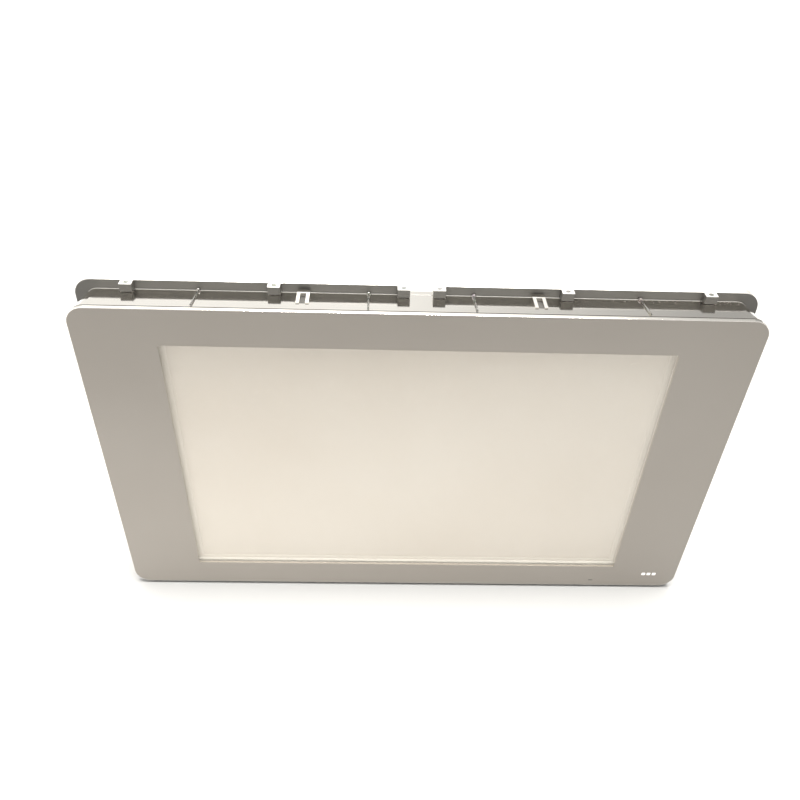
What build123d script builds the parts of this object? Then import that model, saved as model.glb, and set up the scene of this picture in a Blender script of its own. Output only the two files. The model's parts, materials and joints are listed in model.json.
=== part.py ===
from build123d import *
import math
import os

# Touch panel for a machine or a control cabinet, 15.4-inch class.
#
# +X is the viewer's right, +Z is up and -Y points out of the screen, towards the viewer.
# The origin is the centre of the 100 mm hole pattern on the rear mounting face, so the
# whole panel lies at negative Y. Depths are counted back from the front plane, in mm,
# and at(depth) turns a depth into a Y value.

# --- front ---------------------------------------------------------------------------
front_width = 440.0
front_height = 260.0
front_corner = 12.0
front_edge_thickness = 2.4
front_edge_rounding = 0.35
overlay_inset = 0.5
overlay_thickness = 0.4
window_width = 333.4
window_height = 209.6
window_drop = 2.0
window_corner = 1.2
lip_back = 1.8
skirt_width = 428.0
skirt_height = 248.0
skirt_corner = 7.0
skirt_wall = 2.0
skirt_length = 9.6
glass_rib = 2.0
rib_wall = 3.2
glass_play = 0.3

# --- display -------------------------------------------------------------------------
glass_width = 351.0
glass_height = 225.0
glass_thickness = 1.9
bezel_front = 6.0
bezel_width = 344.0
bezel_height = 222.0
active_width = 327.8
active_height = 204.0
sheet_metal = 0.4
cell_thickness = 2.2
display_back = 13.4

# --- housing band and flange ---------------------------------------------------------
seal_thickness = 1.4
seal_recess = 1.6
band_front = front_edge_thickness + seal_thickness
band_inset = 0.3
band_drop = 0.147
band_wall = 3.0
flange_front = 30.0
flange_back = 36.0
flange_width = 446.0
flange_height = 265.0
flange_corner = 12.0
flange_gap = 15.0

# --- rear ----------------------------------------------------------------------------
total_depth = 58.0
cover_width = 424.0
cover_height = 244.0
cover_corner = 10.0
cover_sheet = 1.5
lip_inset = 0.5
chassis_front = 17.0
chassis_sheet = 1.2
board_front = 37.5
board_thickness = 1.6
vesa_pitch = 100.0

# --- placed features, as X positions -------------------------------------------------
block_places = (11.5, 94.5, 188.0)
rod_places = (34.0, 143.2)
rim_places = (75.5,)
post_x = 190.0
post_z = (-104.0, 0.0, 104.0)
lug_post_x = 204.0
lug_post_z = 60.0
post_radius = 4.0
bracket_boss_x = 180.0
bracket_boss_z = 62.0
boss_radius = 3.4

band_taper = math.degrees(math.atan(band_drop))
cover_floor = -cover_height / 2
board_back = board_front + board_thickness
board_edge = cover_floor + 3.0
inside_back = total_depth - cover_sheet
chassis_back = chassis_front + chassis_sheet

os.makedirs("parts", exist_ok=True)


def at(depth):
    """Y of a plane that lies this far behind the front plane."""
    return depth - total_depth


def facing_front(depth):
    return Plane.XZ.offset(-at(depth))


def facing_rear(depth):
    return Plane(origin=(0, at(depth), 0), x_dir=(-1, 0, 0), z_dir=(0, 1, 0))


def both_sides(places):
    return [side * place for place in places for side in (-1, 1)]


def band_half_height(depth):
    """Z of the housing band's top surface at this depth."""
    return front_height / 2 - band_inset - band_drop * (depth - band_front)


def slab(width, height, radius, depth, thickness, centre=(0, 0), mode=Mode.ADD):
    """A plate with round corners, thickness mm deep, whose front lies at depth."""
    with BuildSketch(facing_front(depth)) as outline:
        with Locations(centre):
            RectangleRounded(width, height, radius)
    extrude(outline.sketch, amount=-thickness, mode=mode)


def bars(points, radius, depth, length, mode=Mode.ADD):
    """Round bars along Y at (x, z) points, from depth back by length."""
    with BuildSketch(facing_front(depth)) as outline:
        with Locations(*points):
            Circle(radius)
    extrude(outline.sketch, amount=-length, mode=mode)


def blocks(points, width, height, depth, length, mode=Mode.ADD):
    """Rectangular bars along Y at (x, z) points, from depth back by length."""
    with BuildSketch(facing_front(depth)) as outline:
        with Locations(*points):
            Rectangle(width, height)
    extrude(outline.sketch, amount=-length, mode=mode)


def upright(x, depth, size_x, size_y, z_low, z_high, mode=Mode.ADD):
    """A box that stands along Z, centred on x and depth."""
    with BuildSketch(Plane.XY.offset(z_low)) as outline:
        with Locations((x, at(depth))):
            Rectangle(size_x, size_y)
    extrude(outline.sketch, amount=z_high - z_low, mode=mode)


def upright_bars(points, radius, z_low, z_high, mode=Mode.ADD):
    """Round bars along Z at (x, depth) points."""
    with BuildSketch(Plane.XY.offset(z_low)) as outline:
        with Locations(*[(x, at(depth)) for x, depth in points]):
            Circle(radius)
    extrude(outline.sketch, amount=z_high - z_low, mode=mode)


def band_envelope(grow, depth_from, depth_to, mode=Mode.ADD):
    """The solid inside the band's drafted outer surface, grown sideways by grow."""
    shrink = band_drop * (depth_from - band_front) + band_inset - grow
    with BuildSketch(facing_rear(depth_from)) as outline:
        RectangleRounded(
            front_width - 2 * shrink,
            front_height - 2 * shrink,
            front_corner - shrink,
        )
    extrude(outline.sketch, amount=depth_to - depth_from, taper=band_taper, mode=mode)


def pan_screws(points, seat_depth, shank, shank_radius=1.45, head_radius=2.8):
    """Pan-head screws put in from behind: heads on seat_depth, shanks running forward."""
    head_height = 1.8
    recess = 0.9
    bars(points, shank_radius, seat_depth - shank, shank)
    bars(points, head_radius, seat_depth, head_height)
    recess_depth = seat_depth + head_height - recess
    blocks(points, head_radius * 1.1, 0.8, recess_depth, recess, mode=Mode.SUBTRACT)
    blocks(points, 0.8, head_radius * 1.1, recess_depth, recess, mode=Mode.SUBTRACT)


def keep(piece, name):
    """Name a finished piece and write it as its own STEP file."""
    piece.part.label = name
    export_step(piece.part, f"parts/{name}.step")


# =====================================================================================
# Front: frame, overlay, badge and seal
# =====================================================================================
posts = [(x, z) for x in (-post_x, post_x) for z in post_z]
lug_posts = [(x, z) for x in (-lug_post_x, lug_post_x) for z in (-lug_post_z, lug_post_z)]
bracket_bosses = [
    (x, z) for x in (-bracket_boss_x, bracket_boss_x) for z in (-bracket_boss_z, bracket_boss_z)
]
window_centre = (0, -window_drop)
sensor_place = (151.0, -123.7)
badge_centre = (197.5, -115.3)
badge_tile = 3.0
badge_pitch = 4.3
badge_places = [(badge_centre[0] + step * badge_pitch, badge_centre[1]) for step in (-1, 0, 1)]
lug_depth = 20.0
lug_thickness = 4.0

with BuildPart() as front_frame:
    slab(front_width, front_height, front_corner, 0, front_edge_thickness)
    front_rim = front_frame.edges().group_by(Axis.Y)[0]
    fillet(front_rim, front_edge_rounding)
    slab(
        front_width - 2 * overlay_inset,
        front_height - 2 * overlay_inset,
        front_corner - overlay_inset,
        0,
        overlay_thickness,
        mode=Mode.SUBTRACT,
    )
    # Skirt that locates the frame inside the housing band.
    slab(skirt_width, skirt_height, skirt_corner, front_edge_thickness, skirt_length)
    slab(
        skirt_width - 2 * skirt_wall,
        skirt_height - 2 * skirt_wall,
        skirt_corner - skirt_wall,
        front_edge_thickness,
        skirt_length,
        mode=Mode.SUBTRACT,
    )
    # Raised rib that holds the touch glass on its four sides.
    rib_width = glass_width + 2 * rib_wall
    rib_height = glass_height + 2 * rib_wall
    slab(rib_width, rib_height, 3, front_edge_thickness, glass_rib, window_centre)
    bars(bracket_bosses, boss_radius, front_edge_thickness, glass_rib, mode=Mode.SUBTRACT)
    slab(
        glass_width + 2 * glass_play,
        glass_height + 2 * glass_play,
        1.5,
        lip_back,
        front_edge_thickness + glass_rib - lip_back,
        window_centre,
        mode=Mode.SUBTRACT,
    )
    slab(window_width, window_height, window_corner, 0, 3, window_centre, mode=Mode.SUBTRACT)
    blocks([sensor_place], 3.5, 0.9, 0, 3, mode=Mode.SUBTRACT)
keep(front_frame, "front_frame")

# Standoffs bonded to the back of the frame; each takes a screw in its rear end.
with BuildPart() as frame_posts:
    screw_bore = 10.0
    bars(posts, post_radius, front_edge_thickness, chassis_front - front_edge_thickness)
    bars(posts, 1.5, chassis_front - screw_bore, screw_bore, mode=Mode.SUBTRACT)
    bars(lug_posts, post_radius, front_edge_thickness, lug_depth - front_edge_thickness)
    bars(lug_posts, 1.5, lug_depth - screw_bore, screw_bore, mode=Mode.SUBTRACT)
    bars(bracket_bosses, boss_radius, front_edge_thickness, display_back - front_edge_thickness)
    bars(bracket_bosses, 1.3, display_back - 7, 7, mode=Mode.SUBTRACT)
keep(frame_posts, "frame_posts")

with BuildPart() as front_overlay:
    slab(
        front_width - 2 * overlay_inset - 0.1,
        front_height - 2 * overlay_inset - 0.1,
        front_corner - overlay_inset,
        0,
        overlay_thickness,
    )
    slab(window_width, window_height, window_corner, 0, 1, window_centre, mode=Mode.SUBTRACT)
    blocks([sensor_place], 3.5, 0.9, 0, 1, mode=Mode.SUBTRACT)
    for place in badge_places:
        slab(badge_tile, badge_tile, 0.6, 0, overlay_thickness, place, mode=Mode.SUBTRACT)
keep(front_overlay, "front_overlay")

with BuildPart() as front_badge:
    for place in badge_places:
        slab(badge_tile - 0.06, badge_tile - 0.06, 0.57, 0, overlay_thickness, place)
keep(front_badge, "front_badge")

with BuildPart() as light_sensor_lens:
    blocks([sensor_place], 3.4, 0.8, 0.1, 2.1)
keep(light_sensor_lens, "light_sensor_lens")

with BuildPart() as front_seal:
    slab(
        front_width - 2 * seal_recess,
        front_height - 2 * seal_recess,
        front_corner - seal_recess,
        front_edge_thickness,
        seal_thickness,
    )
    slab(
        skirt_width + 1,
        skirt_height + 1,
        skirt_corner + 0.5,
        front_edge_thickness,
        seal_thickness,
        mode=Mode.SUBTRACT,
    )
keep(front_seal, "front_seal")

# =====================================================================================
# Display: touch glass, gasket and the display module's own pieces
# =====================================================================================
cell_front = bezel_front + sheet_metal
guide_front = cell_front + cell_thickness
guide_thickness = 3.8
tray_front = guide_front + guide_thickness
module_inner_width = bezel_width - 2 * sheet_metal - 0.2
module_inner_height = bezel_height - 2 * sheet_metal - 0.2
led_bar_height = 3.0

with BuildPart() as touch_glass:
    slab(glass_width, glass_height, 1.2, lip_back, glass_thickness, window_centre)
keep(touch_glass, "touch_glass")

with BuildPart() as display_gasket:
    gasket_front = lip_back + glass_thickness
    gasket_thickness = bezel_front - gasket_front
    slab(343, 219, 2, gasket_front, gasket_thickness, window_centre)
    slab(336, 210, 1, gasket_front, gasket_thickness, window_centre, mode=Mode.SUBTRACT)
keep(display_gasket, "display_gasket")

with BuildPart() as display_bezel:
    slab(bezel_width, bezel_height, 1.5, bezel_front, tray_front - bezel_front, window_centre)
    slab(
        bezel_width - 2 * sheet_metal,
        bezel_height - 2 * sheet_metal,
        1.1,
        cell_front,
        tray_front - cell_front,
        window_centre,
        mode=Mode.SUBTRACT,
    )
    slab(active_width, active_height, 0.3, bezel_front, 1, window_centre, mode=Mode.SUBTRACT)
keep(display_bezel, "display_bezel")

with BuildPart() as display_cell:
    slab(
        module_inner_width,
        module_inner_height,
        1,
        cell_front,
        cell_thickness,
        window_centre,
    )
keep(display_cell, "display_cell")

with BuildPart() as light_guide:
    guide_lift = led_bar_height / 2 + 0.2
    slab(
        module_inner_width,
        module_inner_height - 2 * guide_lift,
        1,
        guide_front,
        guide_thickness,
        (0, guide_lift - window_drop),
    )
keep(light_guide, "light_guide")

with BuildPart() as backlight_bar:
    bar_z = -window_drop - module_inner_height / 2 + led_bar_height / 2
    blocks([(0, bar_z)], module_inner_width - 6, led_bar_height, guide_front, guide_thickness)
keep(backlight_bar, "backlight_bar")

with BuildPart() as display_tray:
    slab(
        bezel_width,
        bezel_height,
        1.5,
        tray_front,
        display_back - tray_front,
        window_centre,
    )
keep(display_tray, "display_tray")

driver_board_place = (40.0, 62.0)
with BuildPart() as display_driver_board:
    blocks([driver_board_place], 150, 26, display_back, 1.0)
    blocks([(40.0, 56.0)], 24, 5, display_back + 1.0, 1.6)
keep(display_driver_board, "display_driver_board")

bracket_width = 26.0
bracket_height = 206.0
bracket_sheet = 1.2
bracket_x = 173.0
with BuildPart() as display_brackets:
    for side in (-1, 1):
        slab(bracket_width, bracket_height, 2, display_back, bracket_sheet, (side * bracket_x, 0))
    bars(bracket_bosses, 1.7, display_back, bracket_sheet, mode=Mode.SUBTRACT)
keep(display_brackets, "display_brackets")

with BuildPart() as bracket_screws:
    pan_screws(bracket_bosses, display_back + bracket_sheet, 7.0, 1.25, 2.4)
keep(bracket_screws, "bracket_screws")

# =====================================================================================
# Housing band with its hook rims, tie rods, flange and clamp blocks
# =====================================================================================
rim_width = 8.2
rim_front = 12.3
rim_back = 28.9
rim_arm = 2.2
rim_pocket_back = 23.7
rim_top = band_half_height(rim_front) + 0.7
block_width = 8.0
block_front = 24.4
block_gap = 0.3
block_screw_radius = 1.6
rod_radius = 0.6
rod_front = band_front + 1.2
cover_screw_x = 219.2
cover_screw_z = 128.7

with BuildPart() as housing_band:
    band_envelope(0, band_front, flange_back)
    for x in both_sides(rim_places):
        rim_centre = (rim_front + rim_back) / 2
        rim_length = rim_back - rim_front
        upright(x, rim_centre, rim_width, rim_length, 120, rim_top)
        upright(x, rim_centre, rim_width, rim_length, -rim_top, -120)
    # The band is a ring: its inside keeps the same draft as its outside.
    band_envelope(-band_wall, band_front, flange_back, mode=Mode.SUBTRACT)
    for x in both_sides(rim_places):
        pocket_centre = (rim_front + rim_pocket_back) / 2
        pocket_width = rim_width - 2 * rim_arm
        pocket_length = rim_pocket_back - rim_front
        upright(x, pocket_centre, pocket_width, pocket_length, 118, 135, mode=Mode.SUBTRACT)
        upright(x, pocket_centre, pocket_width, pocket_length, -135, -118, mode=Mode.SUBTRACT)
    # Lugs that take the screws of the front frame.
    for x, z in lug_posts:
        outward = math.copysign(1, x)
        blocks([(x + outward * 3.5, z)], 16, 10, lug_depth, lug_thickness)
    bars(lug_posts, 1.7, lug_depth, lug_thickness, mode=Mode.SUBTRACT)
keep(housing_band, "housing_band")

rod_length = flange_front - rod_front
with BuildPart() as tie_rods:
    for x in both_sides(rod_places):
        for up in (-1, 1):
            lift = rod_radius / math.cos(math.radians(band_taper)) + 0.05
            start = (x, at(rod_front), up * (band_half_height(rod_front) + lift))
            end = (x, at(flange_front) - 0.3, up * (band_half_height(flange_front) + lift))
            run = Vector(*end) - Vector(*start)
            with BuildSketch(Plane(origin=start, z_dir=run)) as rod_end:
                Circle(rod_radius)
            extrude(rod_end.sketch, amount=run.length - 1.4)
            with BuildSketch(Plane(origin=end, z_dir=run * -1)) as rod_head:
                Circle(2 * rod_radius)
            extrude(rod_head.sketch, amount=1.6)
    heads = tie_rods.edges().filter_by(GeomType.CIRCLE).filter_by(
        lambda edge: edge.radius > 1.5 * rod_radius
    )
    fillet(heads, 0.3)
    # The heads sit on the band, so their lower side is trimmed to its surface.
    band_envelope(0.05, band_front, flange_back, mode=Mode.SUBTRACT)
keep(tie_rods, "tie_rods")

with BuildPart() as mounting_flange:
    flange_thickness = flange_back - flange_front
    slab(flange_width, flange_height, flange_corner, flange_front, flange_thickness)
    flange_rims = mounting_flange.edges().group_by(Axis.Y)
    fillet(flange_rims[0] + flange_rims[-1], 0.6)
    band_envelope(0.05, flange_front, flange_back, mode=Mode.SUBTRACT)
    upright(0, flange_front + 3, flange_gap, 8, 100, 140, mode=Mode.SUBTRACT)
    side_screw_z = (-84.0, 0.0, 84.0)
    edge_screw_x = (-156.0, -52.0, 52.0, 156.0)
    cover_screws = [(side * cover_screw_x, z) for side in (-1, 1) for z in side_screw_z]
    cover_screws += [(x, side * cover_screw_z) for side in (-1, 1) for x in edge_screw_x]
    bars(cover_screws, 1.5, flange_back - 5, 5, mode=Mode.SUBTRACT)
keep(mounting_flange, "mounting_flange")

block_top = flange_height / 2 - 0.1
with BuildPart() as clamp_blocks:
    block_depth = (block_front + flange_front) / 2
    block_length = flange_front - block_front
    screw_points = [(x, block_depth) for x in both_sides(block_places)]
    for x in both_sides(block_places):
        upright(x, block_depth, block_width, block_length, 120, block_top)
        upright(x, block_depth, block_width, block_length, -block_top, -120)
    band_envelope(block_gap, band_front, flange_back, mode=Mode.SUBTRACT)
    block_edges = clamp_blocks.edges().filter_by(Axis.Z).group_by(Axis.Y)[0]
    fillet(block_edges, 0.4)
    upright_bars(screw_points, block_screw_radius + 0.05, 128, 135, mode=Mode.SUBTRACT)
    upright_bars(screw_points, block_screw_radius + 0.05, -135, -128, mode=Mode.SUBTRACT)
keep(clamp_blocks, "clamp_blocks")

with BuildPart() as clamp_screws:
    screw_top = block_top - 0.2
    upright_bars(screw_points, block_screw_radius, 128, screw_top)
    upright_bars(screw_points, block_screw_radius, -screw_top, -128)
    for x, depth in screw_points:
        upright(x, depth, 2.4, 0.7, screw_top - 1, screw_top, mode=Mode.SUBTRACT)
        upright(x, depth, 2.4, 0.7, -screw_top, 1 - screw_top, mode=Mode.SUBTRACT)
keep(clamp_screws, "clamp_screws")

with BuildPart() as frame_screws:
    pan_screws(lug_posts, lug_depth + lug_thickness, 12.0)
keep(frame_screws, "frame_screws")

# =====================================================================================
# Chassis plate, boards and what they carry
# =====================================================================================
main_board_x = (-92.0, 188.0)
main_board_top = 14.0
power_board_x = (-202.0, -97.0)
power_board_top = -30.0


def board(x_range, top, depth, thickness):
    """A board between two X values, from the lower edge of the boards up to top."""
    centre = (sum(x_range) / 2, (board_edge + top) / 2)
    blocks([centre], x_range[1] - x_range[0], top - board_edge, depth, thickness)


def board_corners(x_range, top, margin):
    return [
        (x, z)
        for x in (x_range[0] + margin, x_range[1] - margin)
        for z in (board_edge + margin + 12, top - margin)
    ]


standoff_places = board_corners(main_board_x, main_board_top, 5)
standoff_places += board_corners(power_board_x, power_board_top, 5)
ribbon_x = 40.0
ribbon_slot_z = 30.0
chassis_width = 394.0
chassis_height = 232.0

with BuildPart() as chassis_plate:
    slab(chassis_width, chassis_height, 5, chassis_front, chassis_sheet)
    bars(posts, 1.7, chassis_front, chassis_sheet, mode=Mode.SUBTRACT)
    bars(standoff_places, 1.6, chassis_front, chassis_sheet, mode=Mode.SUBTRACT)
    blocks([(ribbon_x, ribbon_slot_z)], 34, 12, chassis_front, chassis_sheet, Mode.SUBTRACT)
keep(chassis_plate, "chassis_plate")

with BuildPart() as chassis_screws:
    pan_screws(posts, chassis_back, 9.0)
keep(chassis_screws, "chassis_screws")

with BuildPart() as board_standoffs:
    with BuildSketch(facing_front(chassis_back)) as hexagons:
        with Locations(*standoff_places):
            RegularPolygon(3.1, 6)
    extrude(hexagons.sketch, amount=chassis_back - board_front)
    bars(standoff_places, 1.5, board_front - 8, 8, mode=Mode.SUBTRACT)
keep(board_standoffs, "board_standoffs")

with BuildPart() as board_screws:
    pan_screws(standoff_places, board_back, 6.0, 1.45, 2.7)
keep(board_screws, "board_screws")

with BuildPart() as main_board:
    board(main_board_x, main_board_top, board_front, board_thickness)
    bars(standoff_places[:4], 1.6, board_front, board_thickness, mode=Mode.SUBTRACT)
keep(main_board, "main_board")

with BuildPart() as power_board:
    board(power_board_x, power_board_top, board_front, board_thickness)
    bars(standoff_places[4:], 1.6, board_front, board_thickness, mode=Mode.SUBTRACT)
keep(power_board, "power_board")

processor_place = (0.0, -48.0)
with BuildPart() as processor:
    blocks([processor_place], 34, 34, board_back, 1.0)
    blocks([processor_place], 22, 22, board_back + 1.0, 1.2)
keep(processor, "processor")

with BuildPart() as thermal_pad:
    blocks([processor_place], 30, 30, board_back + 2.2, 0.8)
keep(thermal_pad, "thermal_pad")

sink_front = board_back + 3.0
sink_size = 72.0
sink_base = 3.0
fin_thickness = 1.2
fin_count = 12
with BuildPart() as heat_sink:
    blocks([processor_place], sink_size, sink_size, sink_front, sink_base)
    fin_pitch = (sink_size - fin_thickness) / (fin_count - 1)
    first_fin = processor_place[0] - (sink_size - fin_thickness) / 2
    fins = [(first_fin + fin * fin_pitch, processor_place[1]) for fin in range(fin_count)]
    fin_front = sink_front + sink_base
    blocks(fins, fin_thickness, sink_size, fin_front, inside_back - 0.5 - fin_front)
keep(heat_sink, "heat_sink")

with BuildPart() as memory_module:
    blocks([(96, -40)], 68, 6, board_back, 5.0)
    blocks([(96, -24)], 67.6, 28, board_back + 3.0, 1.2)
    for x in (74, 88, 104, 118):
        blocks([(x, -22)], 10, 12, board_back + 4.2, 1.0)
keep(memory_module, "memory_module")

with BuildPart() as capacitors:
    cans = [(-190, -52), (-176, -52), (-162, -52), (-190, -66)]
    bars(cans, 5.0, board_back, 12.5)
    can_tops = capacitors.edges().filter_by(GeomType.CIRCLE).group_by(Axis.Y)[-1]
    fillet(can_tops, 0.8)
keep(capacitors, "capacitors")

with BuildPart() as power_converter:
    slab(50, 26, 1.5, board_back, 10.0, (-132, -52))
keep(power_converter, "power_converter")

with BuildPart() as buzzer:
    bars([(118, 2)], 6.0, board_back, 7.5)
    bars([(118, 2)], 1.2, board_back + 5.5, 2.0, mode=Mode.SUBTRACT)
keep(buzzer, "buzzer")

ribbon_thickness = 0.3
ribbon_width = 22.0
ribbon_start = display_back + 2.6
ribbon_end = board_back + 3.2
socket_z = 7.0
with BuildPart() as display_ribbon:
    half_ribbon = ribbon_thickness / 2
    with BuildSketch(Plane.YZ.offset(ribbon_x - ribbon_width / 2)) as ribbon_profile:
        with BuildLine():
            FilletPolyline(
                (at(ribbon_start) + half_ribbon, 58.0),
                (at(ribbon_start) + half_ribbon, ribbon_slot_z),
                (at(ribbon_end) + half_ribbon, ribbon_slot_z),
                (at(ribbon_end) + half_ribbon, socket_z),
                radius=2.5,
            )
        trace(line_width=ribbon_thickness)
    extrude(ribbon_profile.sketch, amount=ribbon_width)
keep(display_ribbon, "display_ribbon")

with BuildPart() as ribbon_socket:
    blocks([(ribbon_x, socket_z)], 27, 5, board_back, 3.1)
keep(ribbon_socket, "ribbon_socket")

# =====================================================================================
# Sockets and controls along the lower edge
# =====================================================================================
socket_face = cover_floor - 0.4
socket_clearance = 0.3
port_height = 13.4
ethernet_x = (-72.0, -52.0)
ethernet_size = 16.2
usb_x = (-26.0, -6.0)
usb_width = 14.2
usb_height = 7.4
serial_x = 32.0
serial_depth = 47.0
serial_flange_width = 30.8
serial_flange_height = 12.6
serial_body_x = 18.6
serial_body_y = 9.4
jack_offset = 12.5
card_x = 82.0
card_width = 28.0
card_height = 3.6
header_x = -150.0
header_width = 19.0
header_height = 10.0
earth_x = -182.0
earth_depth = 46.0
rocker_x = -116.0
rocker_depth = 47.5
rocker_hole_x = 21.0
rocker_hole_y = 13.0
reset_x = 116.0
reset_depth = 43.0
ethernet_depth = board_back + port_height / 2
usb_depth = board_back + usb_height / 2
card_depth = board_back + card_height / 2
header_depth = board_back + header_height / 2

with BuildPart() as ethernet_ports:
    for x in ethernet_x:
        upright(x, ethernet_depth, ethernet_size, port_height, socket_face, socket_face + 21)
        upright(x, ethernet_depth, 11.8, 8.0, socket_face, socket_face + 14, Mode.SUBTRACT)
keep(ethernet_ports, "ethernet_ports")

with BuildPart() as ethernet_contacts:
    for x in ethernet_x:
        for contact in range(8):
            contact_x = x + (contact - 3.5) * 1.1
            upright(contact_x, ethernet_depth - 3.6, 0.4, 0.7, socket_face + 4, socket_face + 14)
keep(ethernet_contacts, "ethernet_contacts")

with BuildPart() as usb_ports:
    for x in usb_x:
        upright(x, usb_depth, usb_width, usb_height, socket_face, socket_face + 15)
        upright(x, usb_depth, 12.8, 5.6, socket_face, socket_face + 12, Mode.SUBTRACT)
        upright(x, usb_depth - 1.6, 11.0, 1.8, socket_face + 1, socket_face + 12)
keep(usb_ports, "usb_ports")

with BuildPart() as serial_port:
    shell_tip = cover_floor - 5.5
    with BuildSketch(Plane.XY.offset(cover_floor - 0.8)) as serial_flange:
        with Locations((serial_x, at(serial_depth))):
            RectangleRounded(serial_flange_width, serial_flange_height, 1.5)
            with Locations((-jack_offset, 0), (jack_offset, 0)):
                Circle(1.6, mode=Mode.SUBTRACT)
    extrude(serial_flange.sketch, amount=0.8)
    with BuildSketch(Plane(origin=(serial_x, at(serial_depth), shell_tip))) as serial_shell:
        with BuildLine():
            FilletPolyline(
                (-9.2, 4.2), (9.2, 4.2), (7.8, -4.2), (-7.8, -4.2), radius=1.6, close=True
            )
        make_face()
        offset(amount=-0.5, mode=Mode.SUBTRACT)
    extrude(serial_shell.sketch, amount=5.0)
    upright(
        serial_x,
        serial_depth,
        serial_body_x,
        serial_body_y,
        cover_floor - 0.8,
        cover_floor + 10,
    )
keep(serial_port, "serial_port")

with BuildPart() as serial_pins:
    upper_row = [(serial_x + (pin - 2) * 2.77, serial_depth + 1.42) for pin in range(5)]
    lower_row = [(serial_x + (pin - 1.5) * 2.77, serial_depth - 1.42) for pin in range(4)]
    upright_bars(upper_row + lower_row, 0.5, shell_tip + 0.8, cover_floor - 0.8)
keep(serial_pins, "serial_pins")

jack_points = [(serial_x + side * jack_offset, serial_depth) for side in (-1, 1)]
with BuildPart() as serial_jackscrews:
    with BuildSketch(Plane.XY.offset(cover_floor - 5.8)) as jack_heads:
        with Locations(*[(x, at(depth)) for x, depth in jack_points]):
            RegularPolygon(2.75, 6)
    extrude(jack_heads.sketch, amount=5.0)
    upright_bars(jack_points, 1.5, cover_floor - 0.8, cover_floor + 5)
    upright_bars(jack_points, 1.3, cover_floor - 5.8, cover_floor - 1.8, mode=Mode.SUBTRACT)
keep(serial_jackscrews, "serial_jackscrews")

with BuildPart() as card_reader:
    upright(card_x, card_depth, card_width, card_height, socket_face + 0.2, socket_face + 30)
    upright(card_x, card_depth, 24.4, 2.4, socket_face, socket_face + 26, Mode.SUBTRACT)
keep(card_reader, "card_reader")

with BuildPart() as power_header:
    upright(header_x, header_depth, header_width, header_height, socket_face, socket_face + 13)
    for step in (-1, 0, 1):
        cavity_x = header_x + step * 5.6
        upright(cavity_x, header_depth, 4.6, 7.6, socket_face, socket_face + 9, Mode.SUBTRACT)
    for side in (-1, 1):
        wing_x = header_x + side * (header_width / 2 + 2.5)
        upright(wing_x, header_depth, 5.0, header_height, socket_face, socket_face + 9)
        upright_bars([(wing_x, header_depth)], 1.25, socket_face, socket_face + 8, Mode.SUBTRACT)
keep(power_header, "power_header")

with BuildPart() as power_header_pins:
    pins = [(header_x + step * 5.6, header_depth) for step in (-1, 0, 1)]
    upright_bars(pins, 0.6, socket_face + 1.5, socket_face + 9)
keep(power_header_pins, "power_header_pins")

earth_point = [(earth_x, earth_depth)]
earth_tip = cover_floor - 9.0
with BuildPart() as earth_stud:
    upright_bars(earth_point, 2.0, earth_tip, cover_floor + 6.0)
    stud_tip = earth_stud.edges().filter_by(GeomType.CIRCLE).group_by(Axis.Z)[0]
    chamfer(stud_tip, 0.5)
keep(earth_stud, "earth_stud")

with BuildPart() as earth_nuts:
    for low in (cover_floor - 3.2, cover_floor + cover_sheet):
        with BuildSketch(Plane.XY.offset(low)) as nut:
            with Locations((earth_x, at(earth_depth))):
                RegularPolygon(4.0, 6)
                Circle(2.03, mode=Mode.SUBTRACT)
        extrude(nut.sketch, amount=3.2)
keep(earth_nuts, "earth_nuts")

# The reset switch stands on the board; its button passes through the cover's floor.
reset_point = [(reset_x, reset_depth)]
reset_travel = 1.0
reset_tip = cover_floor - 1.2
switch_low = cover_floor + 3.6
with BuildPart() as reset_switch:
    upright(reset_x, reset_depth, 7.0, 2 * (reset_depth - board_back), switch_low, switch_low + 7)
    upright_bars(reset_point, 1.7, switch_low, switch_low + 5, mode=Mode.SUBTRACT)
keep(reset_switch, "reset_switch")

with BuildPart() as reset_button:
    upright_bars(reset_point, 2.2, reset_tip, cover_floor + 2.2)
    button_end = reset_button.edges().filter_by(GeomType.CIRCLE).group_by(Axis.Z)[0]
    fillet(button_end, 0.5)
    upright_bars(reset_point, 1.35, cover_floor + 2.2, switch_low + 3.2)
keep(reset_button, "reset_button")

# The power rocker turns on a pin along Y and rests on its "off" side.
rocker_travel = 16.0
rocker_axis_z = cover_floor + 3.0
rocker_pin = 1.2
rocker_width = rocker_hole_x - 4.6
rocker_span = rocker_hole_y - 4.0
with BuildPart() as rocker_frame:
    upright(
        rocker_x,
        rocker_depth,
        rocker_hole_x + 3,
        rocker_hole_y + 3,
        cover_floor - 1.2,
        cover_floor,
    )
    upright(
        rocker_x,
        rocker_depth,
        rocker_hole_x - 0.2,
        rocker_hole_y - 0.2,
        cover_floor,
        cover_floor + 13,
    )
    upright(
        rocker_x,
        rocker_depth,
        rocker_hole_x - 3.4,
        rocker_hole_y - 3.2,
        cover_floor - 2,
        cover_floor + 11.5,
        mode=Mode.SUBTRACT,
    )
    with BuildSketch(Plane.XZ.offset(-at(rocker_depth - rocker_hole_y / 2))) as pin_hole:
        with Locations((rocker_x, rocker_axis_z)):
            Circle(rocker_pin + 0.05)
    extrude(pin_hole.sketch, amount=-rocker_hole_y, mode=Mode.SUBTRACT)
keep(rocker_frame, "rocker_frame")

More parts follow.
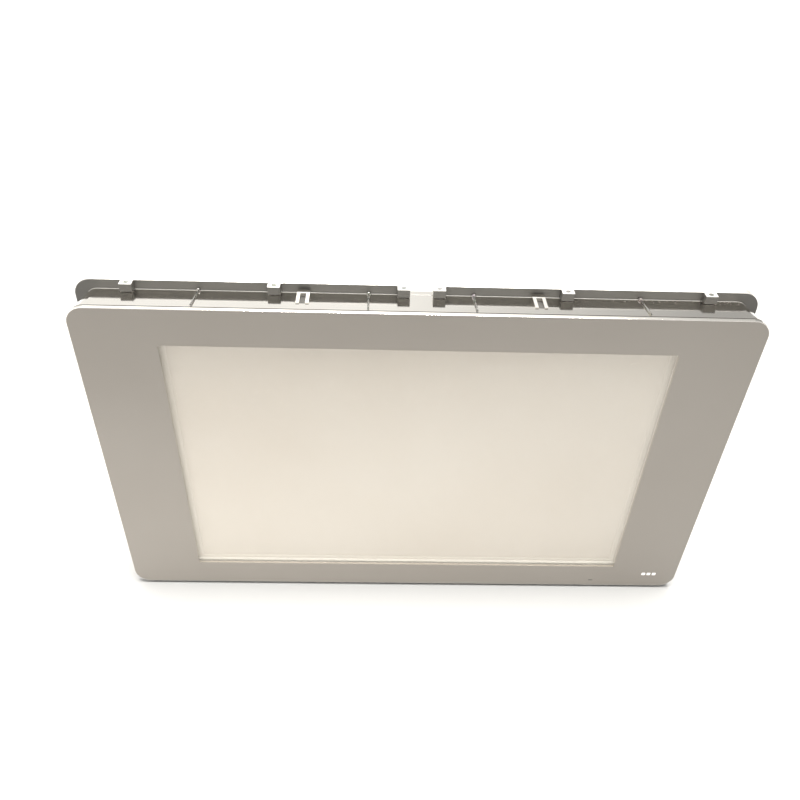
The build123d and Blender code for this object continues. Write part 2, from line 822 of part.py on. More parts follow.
with BuildPart() as power_rocker:
    half = rocker_width / 2
    tilt = math.radians(rocker_travel / 2)
    rise = half * math.tan(tilt)
    crown = rocker_axis_z - cover_floor + 2.2
    rocker_plane = Plane(
        origin=(rocker_x, at(rocker_depth - rocker_span / 2), rocker_axis_z),
        x_dir=(math.cos(tilt), 0, math.sin(tilt)),
        z_dir=(0, -1, 0),
    )
    with BuildSketch(rocker_plane) as rocker_profile:
        with BuildLine():
            Polyline(
                (-half, -crown - rise),
                (0, -crown),
                (half, -crown - rise),
                (half - 1.6, 2.4),
                (-half + 1.6, 2.4),
                close=True,
            )
        make_face()
    extrude(rocker_profile.sketch, amount=-rocker_span)
    with BuildSketch(Plane.XZ.offset(-at(rocker_depth - rocker_hole_y / 2 + 0.4))) as pin:
        with Locations((rocker_x, rocker_axis_z)):
            Circle(rocker_pin)
    extrude(pin.sketch, amount=-(rocker_hole_y - 0.8))
keep(power_rocker, "power_rocker")

# =====================================================================================
# Rear cover, its mounting inserts and the battery door
# =====================================================================================
door_centre = (160.0, -62.0)
door_width = 56.0
door_height = 36.0
door_thickness = 1.6
door_gap = 0.4
hinge_radius = 1.8
hinge_pin_radius = 0.8
hinge_depth = total_depth - hinge_radius
hinge_z = door_centre[1] + door_height / 2
knuckle_zone = hinge_radius + door_gap
half_pitch = vesa_pitch / 2
vesa_places = [(x, z) for x in (-half_pitch, half_pitch) for z in (-half_pitch, half_pitch)]
insert_length = 8.0
insert_outer = 3.0
insert_bore = 2.0
vent_length = 34.0
vent_width = 2.6
vent_pitch = 7.0
vent_rows = 9
vent_columns = (-150.0, -100.0, 100.0, 150.0)
vent_low = 20.0


def cylinder_along_x(x_from, x_to, radius, mode=Mode.ADD):
    """A round bar on the door's hinge line."""
    with BuildSketch(Plane.YZ.offset(x_from)) as section:
        with Locations((at(hinge_depth), hinge_z)):
            Circle(radius)
    extrude(section.sketch, amount=x_to - x_from, mode=mode)


door_left = door_centre[0] - door_width / 2
door_right = door_centre[0] + door_width / 2
knuckle_length = 10.0
cover_knuckles = [(door_left, door_left + knuckle_length), (door_right - knuckle_length, door_right)]
door_knuckle = (door_left + knuckle_length + door_gap, door_right - knuckle_length - door_gap)

with BuildPart() as rear_cover:
    slab(cover_width, cover_height, cover_corner, flange_back, total_depth - flange_back)
    fillet(rear_cover.edges().group_by(Axis.Y)[-1], 3.0)
    slab(
        flange_width - 2 * lip_inset,
        flange_height - 2 * lip_inset,
        flange_corner - lip_inset,
        flange_back,
        cover_sheet,
    )
    slab(
        cover_width - 2 * cover_sheet,
        cover_height - 2 * cover_sheet,
        cover_corner - cover_sheet,
        flange_back,
        inside_back - flange_back,
        mode=Mode.SUBTRACT,
    )
    bars(cover_screws, 1.7, flange_back, cover_sheet, mode=Mode.SUBTRACT)
    # The lip is notched where the flange has its gap.
    upright(0, flange_back + 1, flange_gap, 4, cover_height / 2, 140, mode=Mode.SUBTRACT)
    # Bosses and bores for the mounting inserts.
    bars(vesa_places, 6.0, inside_back - 8.0, 8.5)
    bars(vesa_places, insert_outer + 0.03, inside_back - 8.1, 12, mode=Mode.SUBTRACT)
    # Vents: four columns of slots across the back.
    for row in range(vent_rows):
        with BuildSketch(facing_front(inside_back)) as vents:
            with Locations(*[(x, vent_low + row * vent_pitch) for x in vent_columns]):
                SlotOverall(vent_length, vent_width)
        extrude(vents.sketch, amount=-cover_sheet, mode=Mode.SUBTRACT)
    # Ledge behind the battery door, then the door's opening.
    ledge_centre = (door_centre[0], door_centre[1] + 1)
    slab(door_width + 8, door_height + 10, 2, inside_back - 2.6, 3, ledge_centre)
    blocks(
        [(door_centre[0], door_centre[1] - 1)],
        door_width - 6,
        door_height - 6,
        inside_back - 3,
        4,
        mode=Mode.SUBTRACT,
    )
    blocks(
        [(door_centre[0], door_centre[1] + knuckle_zone / 2)],
        door_width + 2 * door_gap,
        door_height + 2 * door_gap + knuckle_zone,
        total_depth - door_thickness - 0.3,
        4,
        mode=Mode.SUBTRACT,
    )
    blocks(
        [(door_centre[0], hinge_z)],
        door_width + 2 * door_gap,
        2 * knuckle_zone,
        hinge_depth - hinge_radius - door_gap,
        6,
        mode=Mode.SUBTRACT,
    )
    for x_from, x_to in cover_knuckles:
        cylinder_along_x(x_from, x_to, hinge_radius)
        knuckle_centre = (x_from + x_to) / 2
        blocks(
            [(knuckle_centre, hinge_z + hinge_radius / 2 + 0.6)],
            x_to - x_from,
            hinge_radius + 1.2,
            hinge_depth - 0.2,
            hinge_radius + 0.1,
        )
    cylinder_along_x(door_left - 1, door_right + 1, hinge_pin_radius, mode=Mode.SUBTRACT)
    # Cut-outs in the floor for the sockets and controls.
    floor_low = cover_floor - 0.5
    floor_high = cover_floor + cover_sheet + 0.5
    cut = 2 * socket_clearance
    for x in ethernet_x:
        upright(
            x, ethernet_depth, ethernet_size + cut, port_height + cut, floor_low, floor_high,
            mode=Mode.SUBTRACT,
        )
    for x in usb_x:
        upright(
            x, usb_depth, usb_width + cut, usb_height + cut, floor_low, floor_high,
            mode=Mode.SUBTRACT,
        )
    upright(
        serial_x, serial_depth, serial_body_x + cut, serial_body_y + cut, floor_low, floor_high,
        mode=Mode.SUBTRACT,
    )
    upright_bars(jack_points, 1.6, floor_low, floor_high, mode=Mode.SUBTRACT)
    upright(
        card_x, card_depth, card_width + cut, card_height + cut, floor_low, floor_high,
        mode=Mode.SUBTRACT,
    )
    upright(
        header_x, header_depth, header_width + 10 + cut, header_height + cut, floor_low,
        floor_high, mode=Mode.SUBTRACT,
    )
    upright(
        rocker_x, rocker_depth, rocker_hole_x, rocker_hole_y, floor_low, floor_high,
        mode=Mode.SUBTRACT,
    )
    upright_bars(earth_point, 2.1, floor_low, floor_high, mode=Mode.SUBTRACT)
    upright_bars(reset_point, 2.6, floor_low, floor_high, mode=Mode.SUBTRACT)
keep(rear_cover, "rear_cover")

with BuildPart() as cover_screw_set:
    pan_screws(cover_screws, flange_back + cover_sheet, 6.0)
keep(cover_screw_set, "cover_screws")

with BuildPart() as mounting_inserts:
    bars(vesa_places, insert_outer, total_depth - insert_length, insert_length)
    bars(vesa_places, insert_bore, total_depth - insert_length, insert_length, mode=Mode.SUBTRACT)
keep(mounting_inserts, "mounting_inserts")

with BuildPart() as battery_door:
    door_front = total_depth - door_thickness
    door_low = door_centre[1] - door_height / 2
    plate_top = hinge_z - knuckle_zone
    plate_middle = (door_low + plate_top) / 2
    blocks(
        [(door_centre[0], plate_middle)],
        door_width,
        plate_top - door_low,
        door_front,
        door_thickness,
    )
    # The middle of the plate runs up to the door's own knuckle.
    blocks(
        [(door_centre[0], (plate_middle + hinge_z) / 2)],
        door_knuckle[1] - door_knuckle[0],
        hinge_z - plate_middle,
        door_front,
        door_thickness,
    )
    cylinder_along_x(door_knuckle[0], door_knuckle[1], hinge_radius)
    cylinder_along_x(door_knuckle[0], door_knuckle[1], hinge_pin_radius + 0.05, Mode.SUBTRACT)
    # Notch for a fingernail at the lower edge.
    blocks([(door_centre[0], door_low)], 14, 4, total_depth - 0.8, 1, mode=Mode.SUBTRACT)
keep(battery_door, "battery_door")

with BuildPart() as door_hinge_pin:
    cylinder_along_x(door_left + 0.2, door_right - 0.2, hinge_pin_radius)
keep(door_hinge_pin, "door_hinge_pin")

# The battery lies on the main board, under its door.
cell_radius = 10.0
cell_place = (door_centre[0], door_centre[1] - 1)
with BuildPart() as battery_holder:
    bars([cell_place], cell_radius + 1.6, board_back, 5.6)
    bars([cell_place], cell_radius + 0.2, board_back + 2.0, 4, mode=Mode.SUBTRACT)
    blocks([(cell_place[0], cell_place[1] - cell_radius)], 9, 6, board_back + 2.0, 4, Mode.SUBTRACT)
keep(battery_holder, "battery_holder")

with BuildPart() as coin_cell:
    bars([cell_place], cell_radius, board_back + 2.0, 3.2)
    cell_rims = coin_cell.edges().filter_by(GeomType.CIRCLE)
    fillet(cell_rims, 0.4)
keep(coin_cell, "coin_cell")
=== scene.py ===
"""Looks for the touch panel: materials, added detail, floor, light and camera."""

import json
import math

import bmesh
import bpy
from mathutils import Matrix, Vector


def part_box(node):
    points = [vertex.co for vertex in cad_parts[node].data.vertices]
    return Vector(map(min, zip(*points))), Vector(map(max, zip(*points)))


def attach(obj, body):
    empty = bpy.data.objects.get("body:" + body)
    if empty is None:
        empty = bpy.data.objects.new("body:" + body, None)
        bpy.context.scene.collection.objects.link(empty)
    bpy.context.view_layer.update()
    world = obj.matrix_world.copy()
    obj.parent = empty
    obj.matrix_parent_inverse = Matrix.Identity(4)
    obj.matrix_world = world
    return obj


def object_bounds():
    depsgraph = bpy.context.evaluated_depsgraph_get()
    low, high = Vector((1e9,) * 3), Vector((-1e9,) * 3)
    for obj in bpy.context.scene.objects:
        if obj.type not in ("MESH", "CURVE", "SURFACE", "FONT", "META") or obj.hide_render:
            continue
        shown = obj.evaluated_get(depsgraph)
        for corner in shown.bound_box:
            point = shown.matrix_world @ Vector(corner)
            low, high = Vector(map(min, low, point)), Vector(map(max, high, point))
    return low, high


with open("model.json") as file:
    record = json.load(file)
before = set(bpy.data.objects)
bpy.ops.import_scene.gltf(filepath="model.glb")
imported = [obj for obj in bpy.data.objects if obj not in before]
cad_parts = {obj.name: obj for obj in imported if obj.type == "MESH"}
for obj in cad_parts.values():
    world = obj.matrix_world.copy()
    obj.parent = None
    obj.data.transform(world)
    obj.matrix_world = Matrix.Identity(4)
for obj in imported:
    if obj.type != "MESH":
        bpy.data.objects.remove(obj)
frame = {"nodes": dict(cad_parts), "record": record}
cad_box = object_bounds()
nodes = frame["nodes"]

MM = 0.001
RANGE_SOCKETS = ("From Min", "From Max", "To Min", "To Max")

# The housing band, as the CAD has it.
BAND_DRAFT = 0.147
BAND_CORNER = 12 * MM
BAND_INSET = 0.3 * MM
HOOK_RIM_X = 75.5 * MM

# Uncoated metal colour, used in part as a painted highlight on faces that overhead light catches.
BARE_EDGE_AND_HIGHLIGHT = (0.84, 0.82, 0.79)
WORN_GREY = (0.16, 0.155, 0.15)
SPECK_BROWN = (0.30, 0.22, 0.17)
WARM_WHITE = (1.0, 0.985, 0.955)
LAMP_WHITE = (1.0, 0.965, 0.91)
SKY_WHITE = (1.0, 0.985, 0.95)


# --- camera and stage ----------------------------------------------------------------
def panel_middle():
    """The middle of the panel's front face."""
    return Vector((0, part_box("front_overlay")[0].y, 0))


def add_camera():
    """A camera above the panel and a little left of its middle, aimed at its front."""
    front_centre = panel_middle()
    eye_offset = Vector((-28.1, -406.3, 385.8)) * MM
    aim_offset = Vector((-12.1, 0, 62.4)) * MM
    roll = math.radians(2.4)
    lens_mm = 34.95
    sensor_mm = 36.0

    camera_data = bpy.data.cameras.new("camera")
    camera_data.lens = lens_mm
    camera_data.sensor_width = sensor_mm
    camera_data.clip_start = 0.01
    camera_data.clip_end = 60
    camera = bpy.data.objects.new("camera", camera_data)
    bpy.context.scene.collection.objects.link(camera)
    eye = front_centre + eye_offset
    aim = front_centre + aim_offset
    turn = (aim - eye).to_track_quat("-Z", "Y").to_matrix().to_4x4()
    camera.matrix_world = Matrix.Translation(eye) @ turn @ Matrix.Rotation(roll, 4, "Z")
    bpy.context.scene.camera = camera


def add_floor():
    """A pale floor that the flange stands on, wide enough to reach the horizon."""
    half_size = 30.0
    gap = 0.02 * MM
    height = cad_box[0].z - gap
    mesh = bpy.data.meshes.new("floor")
    corners = [(x * half_size, y * half_size, height) for x, y in ((-1, -1), (1, -1), (1, 1), (-1, 1))]
    mesh.from_pydata(corners, [], [(0, 1, 2, 3)])
    floor = bpy.data.objects.new("floor", mesh)
    bpy.context.scene.collection.objects.link(floor)
    mesh.materials.append(floor_material())


def add_light():
    """Studio light: pale surroundings, a broad sun overhead and two soft lights in front."""
    add_surroundings()

    overhead_data = bpy.data.lights.new("overhead", "SUN")
    overhead_data.energy = 9.0
    overhead_data.angle = math.radians(30)
    overhead_data.color = WARM_WHITE
    overhead = bpy.data.objects.new("overhead", overhead_data)
    overhead.rotation_euler = (math.radians(1), math.radians(3), 0)
    bpy.context.scene.collection.objects.link(overhead)

    # Each entry: place, width and height in metres, and power in watts.
    left_place, left_size, left_power = Vector((-0.9, -0.8, 0.05)), (0.7, 0.6), 2.4
    low_place, low_size, low_power = Vector((-0.04, -0.29, -0.112)), (0.8, 0.025), 1.05
    add_soft_light("left_front", left_place, left_size, left_power)
    low_front = add_soft_light("low_front", low_place, low_size, low_power)
    low_front.visible_glossy = False


def add_surroundings():
    """A pale world, brighter above and to the left, so that the metal has tones to reflect."""
    world = bpy.data.worlds.new("studio")
    bpy.context.scene.world = world
    world.use_nodes = True
    graph = world.node_tree
    background = graph.nodes["Background"]
    background.inputs["Color"].default_value = rgb(*SKY_WHITE)
    coords = graph.nodes.new("ShaderNodeTexCoord")
    split = graph.nodes.new("ShaderNodeSeparateXYZ")
    graph.links.new(coords.outputs["Generated"], split.inputs[0])
    # Each entry: direction, from and to along it, and the strength at both ends.
    slopes = (
        ("Y", -0.5, 0.5, 0.45, 0.98),
        ("X", 0.0, 0.4, 1.06, 0.44),
        ("Z", 0.4, 0.62, 1.0, 2.4),
    )
    strength = None
    for axis, low, high, at_low, at_high in slopes:
        slope = graph.nodes.new("ShaderNodeMapRange")
        graph.links.new(split.outputs[axis], slope.inputs["Value"])
        for name, number in zip(RANGE_SOCKETS, (low, high, at_low, at_high)):
            slope.inputs[name].default_value = number
        if strength is None:
            strength = slope.outputs[0]
            continue
        product = graph.nodes.new("ShaderNodeMath")
        product.operation = "MULTIPLY"
        graph.links.new(strength, product.inputs[0])
        graph.links.new(slope.outputs[0], product.inputs[1])
        strength = product.outputs[0]
    graph.links.new(strength, background.inputs["Strength"])


def add_soft_light(name, place, size, energy):
    """A rectangular soft light at place, turned towards the panel's middle."""
    data = bpy.data.lights.new(name, "AREA")
    data.shape = "RECTANGLE"
    data.size, data.size_y = size
    data.energy = energy
    data.color = LAMP_WHITE
    light = bpy.data.objects.new(name, data)
    light.location = place
    light.rotation_euler = (panel_middle() - place).to_track_quat("-Z", "Y").to_euler()
    bpy.context.scene.collection.objects.link(light)
    return light


# --- material helpers ----------------------------------------------------------------
class Graph:
    """Short calls for building a material's node tree."""

    def __init__(self, name):
        self.material = bpy.data.materials.new(name)
        self.material.use_nodes = True
        self.tree = self.material.node_tree
        self.shader = self.tree.nodes["Principled BSDF"]
        self.coords = self.add("ShaderNodeTexCoord").outputs["Object"]

    def add(self, kind, **inputs):
        node = self.tree.nodes.new(kind)
        for key, value in inputs.items():
            self.put(node.inputs[key.replace("_", " ")], value)
        return node

    def put(self, socket, value):
        if isinstance(value, bpy.types.NodeSocket):
            self.tree.links.new(value, socket)
        else:
            socket.default_value = value

    def set(self, **inputs):
        """Values or links on the shader's own sockets."""
        for key, value in inputs.items():
            self.put(self.shader.inputs[key.replace("_", " ")], value)

    def stretched(self, scale):
        mapping = self.add("ShaderNodeMapping", Vector=self.coords)
        mapping.inputs["Scale"].default_value = scale
        return mapping.outputs[0]

    def noise(self, scale, detail=3.0, rough=0.5, vector=None):
        node = self.add("ShaderNodeTexNoise", Scale=scale, Detail=detail, Roughness=rough)
        self.put(node.inputs["Vector"], vector or self.coords)
        return node.outputs["Fac"]

    def ramp(self, value, low, high, to_low=0.0, to_high=1.0):
        node = self.add("ShaderNodeMapRange", Value=value)
        for name, number in zip(RANGE_SOCKETS, (low, high, to_low, to_high)):
            node.inputs[name].default_value = number
        return node.outputs[0]

    def mix(self, factor, first, second):
        node = self.add("ShaderNodeMix")
        node.data_type = "RGBA"
        self.put(node.inputs["Factor"], factor)
        self.put(node.inputs["A"], first)
        self.put(node.inputs["B"], second)
        return node.outputs["Result"]

    def product(self, first, second):
        node = self.add("ShaderNodeMath")
        node.operation = "MULTIPLY"
        self.put(node.inputs[0], first)
        self.put(node.inputs[1], second)
        return node.outputs[0]

    def bump(self, height, strength, distance):
        node = self.add("ShaderNodeBump", Height=height, Strength=strength, Distance=distance)
        return node.outputs[0]

    def edges(self, radius):
        """1 along sharp edges, 0 on open faces."""
        rounded = self.add("ShaderNodeBevel", Radius=radius)
        rounded.samples = 4
        geometry = self.add("ShaderNodeNewGeometry")
        dot = self.add("ShaderNodeVectorMath")
        dot.operation = "DOT_PRODUCT"
        self.put(dot.inputs[0], rounded.outputs[0])
        self.put(dot.inputs[1], geometry.outputs["Normal"])
        away = self.add("ShaderNodeMath")
        away.operation = "SUBTRACT"
        away.inputs[0].default_value = 1.0
        self.put(away.inputs[1], dot.outputs["Value"])
        return self.ramp(away.outputs[0], 0.02, 0.3)


def rgb(red, green, blue):
    return (red, green, blue, 1.0)


def floor_material():
    """A matt floor that the overhead light turns white."""
    g = Graph("floor")
    shade = g.ramp(g.noise(0.6), 0.3, 0.7)
    g.set(Base_Color=g.mix(shade, rgb(0.33, 0.33, 0.325), rgb(0.35, 0.35, 0.35)), Roughness=0.9)
    return g.material


def polished_metal():
    """Polished band and frame: hairlines, smudges and brown specks, thickest in front of the flange
    and towards the right.
    """
    g = Graph("polished_metal")
    hairlines = g.noise(60.0, 2.0, 0.6, g.stretched((0.15, 14.0, 14.0)))
    tone = g.ramp(g.noise(18.0, 4.0), 0.3, 0.75)
    clean = g.mix(tone, rgb(0.90, 0.875, 0.83), rgb(0.86, 0.835, 0.79))
    place = g.add("ShaderNodeSeparateXYZ")
    g.put(place.inputs[0], g.coords)
    # Brown specks, laid thickest just in front of the flange and towards the right.
    flange_low, flange_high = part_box("mounting_flange")
    specks_start, specks_full = flange_low.y - 9 * MM, flange_low.y - 2 * MM
    near_flange = g.ramp(place.outputs["Y"], specks_start, specks_full)
    to_the_right = g.ramp(place.outputs["X"], 0.2 * flange_high.x, 0.75 * flange_high.x)
    specks = g.ramp(g.noise(520.0, 4.0, 0.7), 0.52, 0.66)
    brown_specks = g.product(g.product(near_flange, to_the_right), specks)
    g.set(Base_Color=g.mix(brown_specks, clean, rgb(*SPECK_BROWN)), Metallic=1.0)
    polish = g.ramp(hairlines, 0.2, 0.8, 0.05, 0.13)
    dulled = g.add("ShaderNodeMath")
    dulled.operation = "MAXIMUM"
    g.put(dulled.inputs[0], polish)
    g.put(dulled.inputs[1], g.ramp(brown_specks, 0.0, 1.0, 0.0, 0.6))
    g.set(Roughness=dulled.outputs[0], Normal=g.bump(hairlines, 0.03, 0.0002))
    return g.material


def overlay_film():
    """Warm grey film with a fine matt grain."""
    g = Graph("overlay_film")
    cloud = g.ramp(g.noise(5.0, 3.0), 0.3, 0.7)
    colour = g.mix(cloud, rgb(0.188, 0.172, 0.152), rgb(0.206, 0.190, 0.170))
    grain = g.noise(2600.0, 2.0, 0.6)
    g.set(Base_Color=colour, Roughness=g.ramp(grain, 0.2, 0.8, 0.30, 0.40))
    g.set(Normal=g.bump(grain, 0.10, 0.00006))
    return g.material


def display_face():
    """The unlit display under the glass, faintly mottled."""
    g = Graph("display_face")
    cloud = g.ramp(g.noise(4.0, 2.0), 0.3, 0.7)
    colour = g.mix(cloud, rgb(0.300, 0.276, 0.248), rgb(0.320, 0.299, 0.270))
    g.set(Base_Color=colour, Roughness=0.45)
    return g.material


def clear_glass():
    """Touch glass with a faint milky film and finger smears."""
    g = Graph("touch_glass")
    smear = g.ramp(g.noise(22.0, 5.0), 0.45, 0.8, 0.10, 0.22)
    haze = g.ramp(g.noise(7.0, 3.0), 0.3, 0.7)
    colour = g.mix(haze, rgb(0.74, 0.69, 0.61), rgb(0.80, 0.76, 0.69))
    g.set(Base_Color=colour, Roughness=smear, Alpha=0.22)
    return g.material


def painted(name, colour, worn, roughness=0.42, bare_highlight_axis=None):
    """Powder coat with an orange-peel surface and worn edges.

    With an axis given, the faces whose normal lies along that axis, or off Y for "edge", are
    uncoated metal; this is partly a painted highlight, since it lightens the faces that overhead light
    catches.
    """
    g = Graph(name)
    cloud = g.ramp(g.noise(9.0, 4.0), 0.3, 0.7)
    darker = tuple(channel * 0.92 for channel in colour)
    body = g.mix(cloud, rgb(*colour), rgb(*darker))
    peel = g.noise(1500.0, 2.0, 0.5)
    edge = g.edges(0.5 * MM)
    coat = g.mix(edge, body, rgb(*worn))
    rough = g.ramp(peel, 0.2, 0.8, roughness - 0.05, roughness + 0.08)
    # Painted highlight in part: faces picked by their direction turn to uncoated metal, which lightens
    # the faces that overhead light catches.
    if bare_highlight_axis is not None:
        split = g.add("ShaderNodeSeparateXYZ")
        turned = g.add("ShaderNodeTexCoord")
        g.put(split.inputs[0], turned.outputs["Normal"])
        facing = g.add("ShaderNodeMath")
        facing.operation = "ABSOLUTE"
        g.put(facing.inputs[0], split.outputs["Y" if bare_highlight_axis == "edge" else bare_highlight_axis])
        coated_at, bare_and_highlight_at = (0.75, 0.35) if bare_highlight_axis == "edge" else (0.6, 0.9)
        bare_and_highlight = g.ramp(facing.outputs[0], coated_at, bare_and_highlight_at)
        coat = g.mix(bare_and_highlight, coat, rgb(*BARE_EDGE_AND_HIGHLIGHT))
        g.set(Metallic=bare_and_highlight)
    g.set(Base_Color=coat, Roughness=rough)
    g.set(Normal=g.bump(peel, 0.25, 0.00005))
    return g.material


def sheet_steel(name, colour, roughness):
    """Bare metal with a rolled grain and a faint spangle."""
    g = Graph(name)
    grain = g.noise(90.0, 3.0, 0.6, g.stretched((1.0, 1.0, 22.0)))
    spangle = g.add("ShaderNodeTexVoronoi", Vector=g.coords, Scale=160.0).outputs["Color"]
    tint = g.mix(0.06, rgb(*colour), spangle)
    g.set(Base_Color=tint, Metallic=1.0)
    g.set(Roughness=g.ramp(grain, 0.2, 0.8, roughness - 0.06, roughness + 0.1))
    g.set(Normal=g.bump(grain, 0.06, 0.0001))
    return g.material


def moulded(name, colour, roughness):
    """Moulded plastic or rubber, with a fine grain and lighter scuffed edges."""
    g = Graph(name)
    cloud = g.ramp(g.noise(30.0, 3.0), 0.3, 0.7)
    lighter = tuple(min(1.0, channel * 1.12 + 0.004) for channel in colour)
    grain = g.noise(900.0, 3.0, 0.6)
    body = g.mix(cloud, rgb(*colour), rgb(*lighter))
    scuffed = tuple(min(1.0, channel * 1.5 + 0.02) for channel in colour)
    g.set(Base_Color=g.mix(g.edges(0.3 * MM), body, rgb(*scuffed)))
    g.set(Roughness=g.ramp(grain, 0.2, 0.8, roughness - 0.06, roughness + 0.08))
    g.set(Normal=g.bump(grain, 0.2, 0.00006))
    return g.material


def seam_material():
    """Dull sealant."""
    g = Graph("seam")
    grain = g.noise(400.0, 3.0)
    g.set(Base_Color=g.mix(g.ramp(grain, 0.3, 0.7), rgb(0.34, 0.335, 0.32), rgb(0.24, 0.235, 0.22)))
    g.set(Roughness=g.ramp(grain, 0.2, 0.8, 0.2, 0.35))
    return g.material


def board_mask():
    """Solder mask with the faint relief of the tracks under it."""
    g = Graph("board_mask")
    tracks = g.add("ShaderNodeTexBrick", Vector=g.coords, Scale=55.0)
    tracks.inputs["Mortar Size"].default_value = 0.09
    weave = g.noise(700.0, 2.0)
    body = g.mix(tracks.outputs["Fac"], rgb(0.012, 0.09, 0.035), rgb(0.02, 0.15, 0.06))
    g.set(Base_Color=body, Roughness=g.ramp(weave, 0.2, 0.8, 0.28, 0.4))
    g.set(Normal=g.bump(tracks.outputs["Fac"], 0.3, 0.00004))
    return g.material


MATERIALS = {
    "polished_metal": polished_metal,
    "overlay_film": overlay_film,
    "badge_white": lambda: moulded("badge_white", (0.85, 0.85, 0.82), 0.4),
    "sensor_lens": lambda: moulded("sensor_lens", (0.03, 0.03, 0.03), 0.2),
    "seal_rubber": lambda: moulded("seal_rubber", (0.03, 0.03, 0.03), 0.75),
    "touch_glass": clear_glass,
    "display_face": display_face,
    "display_steel": lambda: sheet_steel("display_steel", (0.62, 0.61, 0.58), 0.35),
    "clear_acrylic": lambda: moulded("clear_acrylic", (0.8, 0.81, 0.8), 0.35),
    # Uncoated metal on the flange's edge faces and on the blocks' top and bottom faces, partly a
    # painted highlight of the overhead light.
    "flange_grey": lambda: painted("flange_grey", (0.072, 0.069, 0.063), WORN_GREY, bare_highlight_axis="edge"),
    "block_grey": lambda: painted("block_grey", (0.068, 0.065, 0.059), WORN_GREY, bare_highlight_axis="Z"),
    "rod_steel": lambda: sheet_steel("rod_steel", (0.55, 0.54, 0.52), 0.25),
    "screw_steel": lambda: sheet_steel("screw_steel", (0.6, 0.6, 0.57), 0.25),
    "cover_paint": lambda: painted("cover_paint", (0.36, 0.36, 0.345), (0.55, 0.55, 0.53), 0.5),
    "chassis_steel": lambda: sheet_steel("chassis_steel", (0.66, 0.66, 0.62), 0.32),
    "board_green": board_mask,
    "chip_black": lambda: moulded("chip_black", (0.02, 0.02, 0.022), 0.45),
    "pad_grey": lambda: moulded("pad_grey", (0.4, 0.43, 0.46), 0.7),
    "sink_aluminium": lambda: sheet_steel("sink_aluminium", (0.6, 0.6, 0.6), 0.38),
    "can_aluminium": lambda: sheet_steel("can_aluminium", (0.75, 0.75, 0.77), 0.25),
    "socket_steel": lambda: sheet_steel("socket_steel", (0.72, 0.71, 0.68), 0.22),
    "contact_gold": lambda: sheet_steel("contact_gold", (0.86, 0.62, 0.25), 0.22),
    "header_plastic": lambda: moulded("header_plastic", (0.03, 0.22, 0.08), 0.5),
    "black_plastic": lambda: moulded("black_plastic", (0.022, 0.022, 0.024), 0.45),
    "button_plastic": lambda: moulded("button_plastic", (0.7, 0.7, 0.67), 0.45),
    "door_plastic": lambda: moulded("door_plastic", (0.27, 0.27, 0.26), 0.5),
    "insert_brass": lambda: sheet_steel("insert_brass", (0.78, 0.58, 0.28), 0.28),
    "cell_steel": lambda: sheet_steel("cell_steel", (0.72, 0.72, 0.7), 0.25),
}


def dress_cad_nodes():
    """Every CAD node gets the material of its slot in the record."""
    made = {}
    for entry in frame["record"]["subparts"]:
        slot = entry["material_slot"]
        if slot not in made:
            made[slot] = MATERIALS[slot]()
        mesh = nodes[entry["node"]].data
        mesh.materials.clear()
        mesh.materials.append(made[slot])
    foam = nodes["display_gasket"].data
    foam.materials[0] = moulded("gasket_foam", (0.5, 0.485, 0.45), 0.85)
    bezel = nodes["display_bezel"].data
    bezel.materials[0] = painted("bezel_coat", (0.40, 0.385, 0.35), (0.5, 0.48, 0.44))


# --- added pieces --------------------------------------------------------------------
def new_piece(name, mesh_maker, material):
    """A piece built by mesh_maker(bm), fixed to the panel, with its material."""
    bm = bmesh.new()
    mesh_maker(bm)
    bmesh.ops.recalc_face_normals(bm, faces=bm.faces)
    mesh = bpy.data.meshes.new(name)
    bm.to_mesh(mesh)
    bm.free()
    piece = bpy.data.objects.new(name, mesh)
    bpy.context.scene.collection.objects.link(piece)
    mesh.materials.append(material)
    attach(piece, "panel")


def add_plate(bm, low, high, bevel):
    """A box between two corners with bevelled edges, joined into bm."""
    made = bmesh.ops.create_cube(bm, size=1.0)["verts"]
    for vert in made:
        for axis in range(3):
            middle = (low[axis] + high[axis]) / 2
            vert.co[axis] = middle + vert.co[axis] * (high[axis] - low[axis])
    edges = {edge for vert in made for edge in vert.link_edges}
    bmesh.ops.bevel(bm, geom=list(edges), offset=bevel, segments=2, affect="EDGES")


def round_rectangle(half_x, half_z, radius, steps=8):
    """Points round a rectangle with round corners, in the XZ plane, as (x, z)."""
    points = []
    for quarter in range(4):
        side_x = 1 if quarter in (0, 3) else -1
        side_z = 1 if quarter in (0, 1) else -1
        centre = (side_x * (half_x - radius), side_z * (half_z - radius))
        for step in range(steps + 1):
            angle = math.radians(90) * (quarter + step / steps)
            points.append((centre[0] + radius * math.cos(angle), centre[1] + radius * math.sin(angle)))
    return points


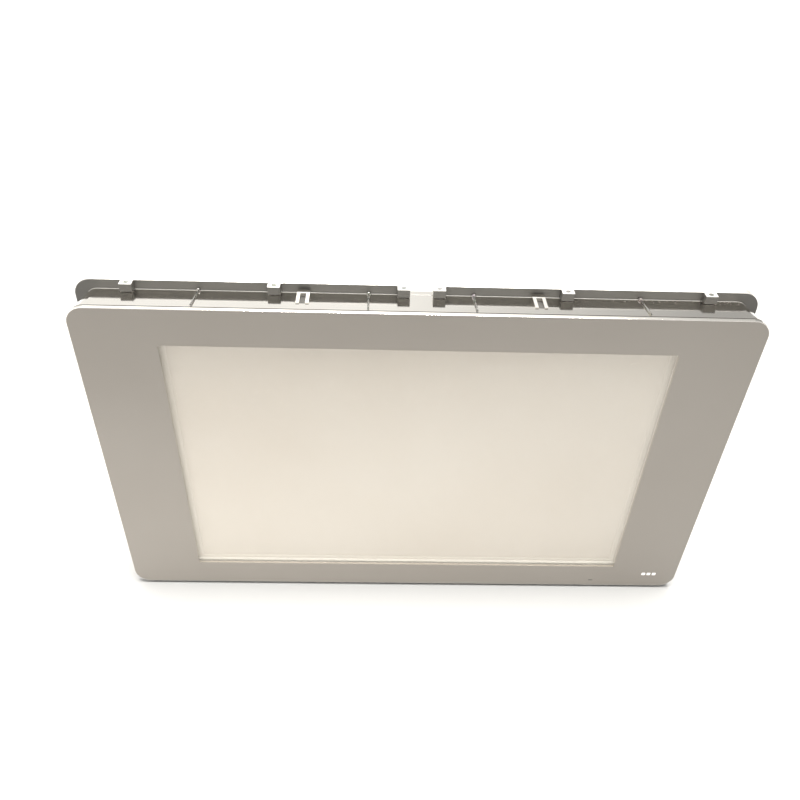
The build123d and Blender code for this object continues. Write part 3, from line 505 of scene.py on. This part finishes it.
def add_loop_tube(bm, path, radius, sides=8):
    """A closed round tube along path, a list of vectors."""
    rings = []
    count = len(path)
    for index, point in enumerate(path):
        along = (path[(index + 1) % count] - path[index - 1]).normalized()
        across = along.cross(Vector((0, 1, 0))).normalized()
        ring = []
        for side in range(sides):
            angle = math.tau * side / sides
            offset = across * math.cos(angle) + Vector((0, 1, 0)) * math.sin(angle)
            ring.append(bm.verts.new(point + offset * radius))
        rings.append(ring)
    for index, ring in enumerate(rings):
        following = rings[(index + 1) % count]
        for side in range(sides):
            after = (side + 1) % sides
            bm.faces.new((ring[side], ring[after], following[after], following[side]))


def add_seam_bead():
    """A fine bead of clear sealant where the housing band meets the flange."""
    bead_radius = 0.3 * MM
    bead_standoff = 0.15 * MM
    band_low, band_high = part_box("housing_band")
    flange_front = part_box("mounting_flange")[0].y
    setback = BAND_DRAFT * (flange_front - band_low.y)
    half_x = band_high.x - setback
    half_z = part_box("front_frame")[1].z - BAND_INSET - setback
    outline = round_rectangle(half_x, half_z, BAND_CORNER - setback)
    path = [Vector((x, flange_front - bead_standoff, z)) for x, z in outline]

    def make(bm):
        add_loop_tube(bm, path, bead_radius)

    new_piece("flange_seam", make, seam_material())


def add_hook_seats():
    """Grey plates at the bottom of the pockets inside the U-shaped hook rims."""
    band_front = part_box("housing_band")[0].y
    pocket_half = 1.85 * MM
    y_front = band_front + 8.8 * MM
    y_back = band_front + 19.6 * MM
    pocket_depth = 3.5 * MM
    thickness = 1.2 * MM
    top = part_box("front_frame")[1].z - pocket_depth
    material = painted("hook_grey", (0.055, 0.052, 0.047), (0.12, 0.115, 0.11))

    def make(bm):
        for side in (-1, 1):
            for up in (-1, 1):
                z_low, z_high = sorted((up * top, up * (top - thickness)))
                low = (side * HOOK_RIM_X - pocket_half, y_front, z_low)
                high = (side * HOOK_RIM_X + pocket_half, y_back, z_high)
                add_plate(bm, low, high, 0.2 * MM)

    new_piece("hook_seats", make, material)


bpy.context.scene.view_settings.view_transform = "Standard"
add_camera()
add_light()
add_floor()
dress_cad_nodes()
add_seam_bead()
add_hook_seats()
